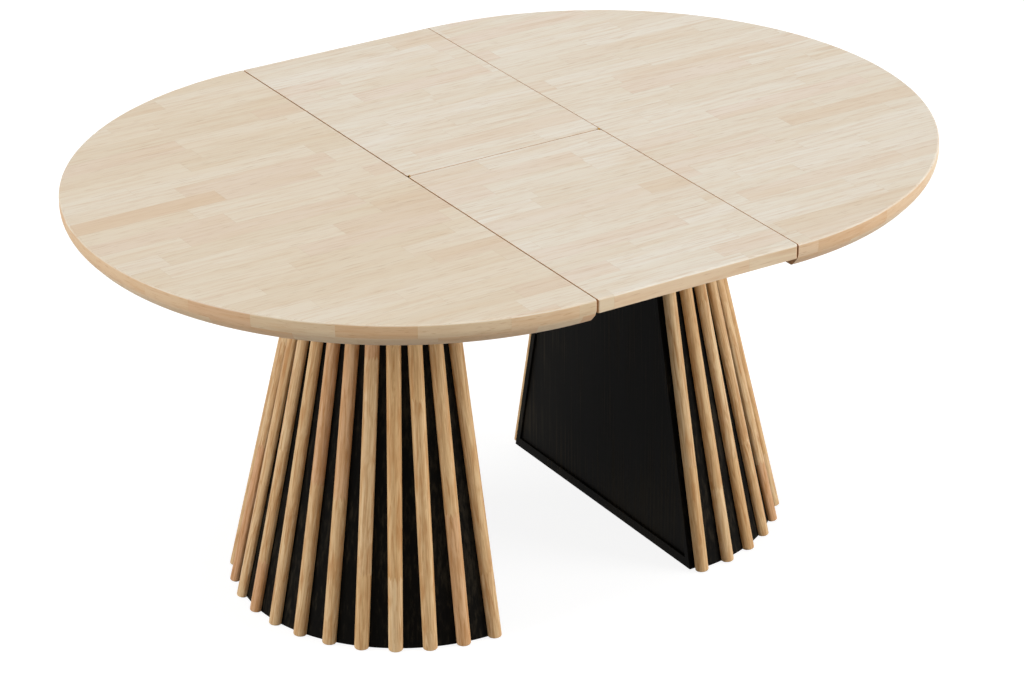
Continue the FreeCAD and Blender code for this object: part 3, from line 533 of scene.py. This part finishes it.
def turned_disc(side, sign):
    """A half's whole top as one disc in edit mode: board, soft edge and drawn-in rim.

    Gives the disc, the place of its seam and the height of the glue line.
    """
    board_low, board_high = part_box(f"{side}_top_panel")
    rim_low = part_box(f"{side}_edge_rim")[0]
    seam = sign * SEAM
    deselect()
    middle = (seam, 0, (rim_low.z + board_high.z) / 2)
    bpy.ops.mesh.primitive_cylinder_add(
        vertices=ROUND_STEPS, radius=TOP_RADIUS, depth=board_high.z - rim_low.z, location=middle)
    disc = bpy.context.object
    bpy.ops.object.transform_apply(location=True, rotation=True, scale=True)
    bpy.ops.object.mode_set(mode="EDIT")
    bpy.ops.mesh.select_all(action="SELECT")
    bpy.ops.mesh.bisect(plane_co=(0, 0, board_low.z), plane_no=(0, 0, 1))
    pick(disc, "VERT", lambda at: near(at.z, rim_low.z))
    share = 1 - RIM_BEVEL_RUN / TOP_RADIUS
    bpy.ops.transform.resize(value=(share, share, 1), center_override=(seam, 0, rim_low.z))
    for level, width in ((board_high.z, TOP_EDGE_EASE), (board_low.z, EDGE_ROUND), (rim_low.z, RIM_EASE)):
        pick(disc, "EDGE", lambda at: near(at.z, level))
        bpy.ops.mesh.bevel(offset=width, segments=EDGE_STEPS)
    bpy.ops.mesh.select_all(action="SELECT")
    return disc, seam, board_low.z


def half_top(side, sign, shift, staves):
    """Half-round board: the disc above the glue line, cut at the seam."""
    board, seam, glue = turned_disc(side, sign)
    bpy.ops.mesh.bisect(plane_co=(0, 0, glue), plane_no=(0, 0, 1), use_fill=True, clear_inner=True)
    cut_half(seam, sign)
    bpy.ops.object.mode_set(mode="OBJECT")
    ease(board, SEAM_EASE, sharp=SEAM_CORNER)
    return fitted(board, f"{side}_top_board", f"{side}_half", "top_wood",
                  butcher_block(f"{side}_top", shift, staves), f"{side}_top_panel")


def edge_rim(side, sign, shift, staves):
    """Strip under the round edge: the disc below the glue line, hollowed to a ring and cut at the seam."""
    rim, seam, glue = turned_disc(side, sign)
    low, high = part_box(f"{side}_edge_rim")
    bpy.ops.mesh.bisect(plane_co=(0, 0, glue), plane_no=(0, 0, -1), use_fill=True, clear_inner=True)
    lean = math.atan2(RIM_BEVEL_RUN, high.z - low.z)
    round_radius = EDGE_ROUND / math.tan(lean / 2)
    set_in = round_radius - math.sqrt(round_radius ** 2 - EDGE_ROUND ** 2)
    for level, width in ((high.z, RIM_WIDTH - set_in), (low.z, RIM_WIDTH - RIM_BEVEL_RUN - RIM_EASE)):
        pick(rim, "FACE", lambda at: near(at.z, level))
        bpy.ops.mesh.inset(thickness=width)
    pick(rim, "FACE", lambda at: near(at.x, seam) and near(at.y, 0))
    bpy.ops.mesh.bridge_edge_loops()
    cut_half(seam, sign)
    bpy.ops.object.mode_set(mode="OBJECT")
    ease(rim, GLUE_LINE_EASE)
    return fitted(rim, f"{side}_edge_strip", f"{side}_half", "top_wood",
                  butcher_block(f"{side}_edge", shift, staves), f"{side}_edge_rim")


def box_piece(low, high):
    """A block between two corners, as the selected object."""
    deselect()
    bpy.ops.mesh.primitive_cube_add(size=1, location=(low + high) / 2, scale=high - low)
    bpy.ops.object.transform_apply(location=True, rotation=True, scale=True)
    return bpy.context.object


def cut_out(piece, low, high):
    """Cuts a block's room out of a piece."""
    cutter = box_piece(low, high)
    deselect()
    piece.select_set(True)
    bpy.context.view_layer.objects.active = piece
    cut = piece.modifiers.new("mortise", "BOOLEAN")
    cut.object = cutter
    cut.solver = "EXACT"
    bpy.ops.object.modifier_apply(modifier=cut.name)
    bpy.data.objects.remove(cutter)


def leaf_board(end, sign, shift):
    """One board of the leaf, with rooms for the hinge plates at both ends of the fold line."""
    low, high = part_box(f"leaf_{end}_panel")
    edge = high.y if sign > 0 else low.y
    fold = low.y if sign > 0 else high.y
    board = box_piece(low - Vector((LEAF_REACH_LEFT, 0, 0)), high + Vector((LEAF_REACH_RIGHT, 0, 0)))
    plate_low, plate_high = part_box(f"leaf_{end}_hinge_plates")
    bar_end = plate_high.y if sign > 0 else plate_low.y
    spare = 2 * LEAF_REACH_RIGHT
    for inner, outer in ((high.x - HINGE_PLATE, high.x + spare), (low.x - spare, low.x + HINGE_PLATE)):
        for reach, top in ((bar_end, plate_low.z + HINGE_BAR), (fold + sign * KNUCKLE_NOTCH, high.z + spare)):
            near_y, far_y = sorted((fold - sign * spare, reach))
            cut_out(board, Vector((inner, near_y, plate_low.z)), Vector((outer, far_y, top)))
    middle = (low.z + high.z) / 2
    bpy.ops.object.mode_set(mode="EDIT")
    pick(board, "EDGE", lambda at: near(at.y, edge) and at.z > middle - MM)
    bpy.ops.mesh.bevel(offset=TOP_EDGE_EASE, segments=EDGE_STEPS)
    pick(board, "EDGE", lambda at: near(at.z, high.z) and near(at.y, fold))
    bpy.ops.mesh.bevel(offset=FOLD_EASE, segments=3)
    bpy.ops.object.mode_set(mode="OBJECT")
    ease(board, SEAM_EASE)
    return fitted(board, f"leaf_{end}_board", f"leaf_{end}", "top_wood",
                  butcher_block(f"leaf_{end}", shift, PALE_STAVES), f"leaf_{end}_panel")


def one_slat(low, high):
    """A round-fronted slat in front of the cone's axis: a rod cut flat, drawn out at the back and leaned."""
    deselect()
    chord = math.sqrt(SLAT_FRONT_RADIUS ** 2 - (SLAT_WIDTH / 2) ** 2)
    slat_back = BASE_RADIUS + FIT_CLEARANCE
    front = slat_back + SLAT_DEPTH
    centre = (0, SLAT_FRONT_RADIUS - front, (low + high) / 2)
    bpy.ops.mesh.primitive_cylinder_add(
        vertices=SLAT_ROUND_STEPS, radius=SLAT_FRONT_RADIUS, depth=high - low, location=centre)
    slat = bpy.context.object
    bpy.ops.object.transform_apply(location=True, rotation=True, scale=True)
    bpy.ops.object.mode_set(mode="EDIT")
    bpy.ops.mesh.select_all(action="SELECT")
    back = centre[1] - chord
    bpy.ops.mesh.bisect(plane_co=(0, back, 0), plane_no=(0, -1, 0), use_fill=True, clear_inner=True)
    pick(slat, "FACE", lambda at: near(at.y, back))
    bpy.ops.mesh.extrude_region_move(TRANSFORM_OT_translate={"value": (0, -slat_back - back, 0)})
    pick(slat, "VERT", lambda at: near(at.z, high))
    bpy.ops.transform.translate(value=(0, BASE_RADIUS - BASE_TOP_RADIUS, 0))
    bpy.ops.object.mode_set(mode="OBJECT")
    ease(slat, SLAT_END_EASE)
    return slat


def pedestal_skin(side, sign):
    """Half-cone shell behind the slats: a cone, hollowed to its wall and cut at the face."""
    low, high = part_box(f"{side}_pedestal_shell")
    seam = low.x if sign > 0 else high.x
    deselect()
    middle = (seam, 0, (low.z + high.z) / 2)
    bpy.ops.mesh.primitive_cone_add(
        vertices=ROUND_STEPS, radius1=BASE_RADIUS, radius2=BASE_TOP_RADIUS,
        depth=high.z - low.z, location=middle)
    skin = bpy.context.object
    bpy.ops.object.transform_apply(location=True, rotation=True, scale=True)
    bpy.ops.object.mode_set(mode="EDIT")
    pick(skin, "FACE", lambda at: near(at.x, seam) and near(at.y, 0))
    bpy.ops.mesh.inset(thickness=SHELL_WALL)
    pick(skin, "FACE", lambda at: near(at.x, seam) and near(at.y, 0))
    bpy.ops.mesh.bridge_edge_loops()
    cut_half(seam, sign)
    bpy.ops.object.mode_set(mode="OBJECT")
    ease(skin, PAINTED_EASE)
    return fitted(skin, f"{side}_pedestal_skin", f"{side}_half", "black_wood",
                  FINISHES["black_wood"], f"{side}_pedestal_shell")


def eased_copy(node, body, slot, width, finish=None):
    """A copy of a plain node with its sharp edges rounded off, as a maker's sandpaper or press leaves them."""
    deselect()
    copy = bpy.data.objects.new(f"{node}_eased", frame["nodes"][node].data.copy())
    bpy.context.collection.objects.link(copy)
    copy.select_set(True)
    bpy.context.view_layer.objects.active = copy
    bpy.ops.object.mode_set(mode="EDIT")
    bpy.ops.mesh.select_all(action="SELECT")
    bpy.ops.mesh.remove_doubles(threshold=MERGED)
    bpy.ops.mesh.dissolve_limited(angle_limit=math.radians(FLAT_TURN))
    bpy.ops.object.mode_set(mode="OBJECT")
    ease(copy, width, segments=2)
    return fitted(copy, f"{node}_eased", body, slot, finish or FINISHES[slot], node)


def slat_row(side, sign):
    """All slats of one half, spread over the half circle, with a map of each rod for its grain."""
    low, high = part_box(f"{side}_slats")
    shell_low, shell_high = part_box(f"{side}_pedestal_shell")
    axis = shell_low.x if sign > 0 else shell_high.x
    pattern = one_slat(low.z, high.z)
    lean = (BASE_RADIUS - BASE_TOP_RADIUS) / (high.z - low.z)
    first_number = RIGHT_ROD_NUMBERS if sign > 0 else 0
    rods = []
    for number in range(SLAT_COUNT):
        rod = pattern.copy()
        rod.data = pattern.data.copy()
        bpy.context.collection.objects.link(rod)
        follows = rod.data.attributes.new("rod", "FLOAT_VECTOR", "POINT")
        for corner, mark in zip(rod.data.vertices, follows.data):
            straight = corner.co.y - lean * (corner.co.z - low.z)
            mark.vector = (corner.co.x + number + first_number, straight, corner.co.z)
        turn = Matrix.Rotation(sign * math.pi * number / (SLAT_COUNT - 1), 4, "Z")
        rod.data.transform(Matrix.Translation((axis, 0, 0)) @ turn)
        rods.append(rod)
    bpy.data.objects.remove(pattern)
    deselect()
    for rod in rods:
        rod.select_set(True)
    bpy.context.view_layer.objects.active = rods[0]
    bpy.ops.object.join()
    return fitted(rods[0], f"{side}_slat_row", f"{side}_half", "slat_wood",
                  FINISHES["slat_wood"], f"{side}_slats")


# Each board's pattern of staves is shifted, so that no two boards are alike.
half_top("left", -1, (0.11, 0.013, 0), WARM_STAVES)
half_top("right", 1, (3.27, 1.021, 0), PALE_STAVES)
edge_rim("left", -1, (5.1, 2.01, 0), WARM_STAVES)
edge_rim("right", 1, (6.3, 2.53, 0), PALE_STAVES)
leaf_board("front", -1, (8.4, 3.017, 0))
leaf_board("rear", 1, (9.9, 4.033, 0))
for half, outward in (("left", -1), ("right", 1)):
    slat_row(half, outward)
    pedestal_skin(half, outward)
    for piece in ("face_frame", "face_panel", "inner_bearer", "outer_bearer"):
        eased_copy(f"{half}_{piece}", f"{half}_half", "black_wood", PAINTED_EASE)
for piece in ("rear_centre_rail", "front_centre_rail"):
    eased_copy(piece, "carrier", "rail_wood", PLANED_EASE)
cross_wood = bare_hardwood("cross_bars", (200, 8, 200))
for piece in ("left_cross_bar", "right_cross_bar"):
    eased_copy(piece, "carrier", "rail_wood", PLANED_EASE, cross_wood)
for piece in ("rear_hanger", "front_hanger"):
    eased_copy(piece, "carrier", "black_steel", PRESSED_EASE)


# Floor, light and camera

def seen_directly(tree):
    """A socket that is 1 for what the camera, gloss or glass shows, and 0 for light that falls on the table."""
    path = add(tree, "ShaderNodeLightPath")
    seen = add(tree, "ShaderNodeMath", {0: path.outputs["Is Camera Ray"], 1: path.outputs["Is Glossy Ray"]})
    all_seen = add(tree, "ShaderNodeMath", {0: seen.outputs[0], 1: path.outputs["Is Transmission Ray"]},
                   use_clamp=True)
    return all_seen.outputs[0]


def pale_floor():
    """A plain white floor that keeps the table's shadow."""
    deselect()
    bpy.ops.mesh.primitive_plane_add(size=FLOOR_SIZE, location=(0, 0, 0))
    floor = bpy.context.object
    floor.name = "studio_floor"
    material, tree, shader = new_finish("white_studio_floor")
    shader.inputs["Roughness"].default_value = 0.9
    shader.inputs["Specular IOR Level"].default_value = 0
    seen = seen_directly(tree)
    tone = add(tree, "ShaderNodeMix",
               {"Factor": seen, 6: linear("#8f8f8f"), 7: linear("#969696")}, data_type="RGBA")
    tree.links.new(tone.outputs[2], shader.inputs["Base Color"])
    lift = add(tree, "ShaderNodeMath", {0: seen, 1: FLOOR_GLOW}, operation="MULTIPLY")
    shader.inputs["Emission Color"].default_value = (1, 1, 1, 1)
    tree.links.new(lift.outputs[0], shader.inputs["Emission Strength"])
    floor.data.materials.append(material)
    deselect()


def studio_light():
    """Even white surroundings, with broad soft lamps above and on both sides of the view."""
    world = bpy.data.worlds.new("white_studio")
    world.use_nodes = True
    tree = world.node_tree
    sky = tree.nodes["Background"]
    level = add(tree, "ShaderNodeMapRange", {"Value": seen_directly(tree), "To Min": AMBIENT, "To Max": 1})
    sky.inputs["Color"].default_value = (1, 1, 1, 1)
    tree.links.new(level.outputs[0], sky.inputs["Strength"])
    bpy.context.scene.world = world
    for name, towards, strength in (
            ("top_lamp", (0, 0, -1), 0.86),
            ("left_lamp", (0.85, -0.2, -0.25), 1.9),
            ("right_lamp", (-0.7, 0.6, -0.22), 2.6)):
        bpy.ops.object.light_add(type="SUN", location=(0, 0, LAMP_HEIGHT))
        lamp = bpy.context.object
        lamp.name = name
        lamp.data.energy = strength
        lamp.data.angle = math.radians(LAMP_SPREAD)
        lamp.rotation_mode = "QUATERNION"
        lamp.rotation_quaternion = Vector(towards).to_track_quat("-Z", "Y")


def photo_camera():
    """The camera that the photograph was fitted with."""
    yaw, pitch, roll = (math.radians(angle) for angle in CAMERA_TURN)
    ahead = Vector((math.sin(yaw) * math.cos(pitch), math.cos(yaw) * math.cos(pitch), -math.sin(pitch)))
    level = Vector((math.cos(yaw), -math.sin(yaw), 0))
    above = level.cross(ahead)
    right = math.cos(roll) * level + math.sin(roll) * above
    up = math.cos(roll) * above - math.sin(roll) * level
    bpy.ops.object.camera_add()
    camera = bpy.context.object
    camera.name = "photo_camera"
    turn = Matrix((right, up, -ahead)).transposed().to_4x4()
    camera.matrix_world = Matrix.Translation(CAMERA_PLACE) @ turn
    camera.data.sensor_width = CAMERA_SENSOR
    camera.data.lens = CAMERA_LENS
    camera.data.clip_end = CAMERA_REACH
    bpy.context.scene.camera = camera


pale_floor()
studio_light()
photo_camera()
bpy.context.scene.view_settings.view_transform = "Standard"
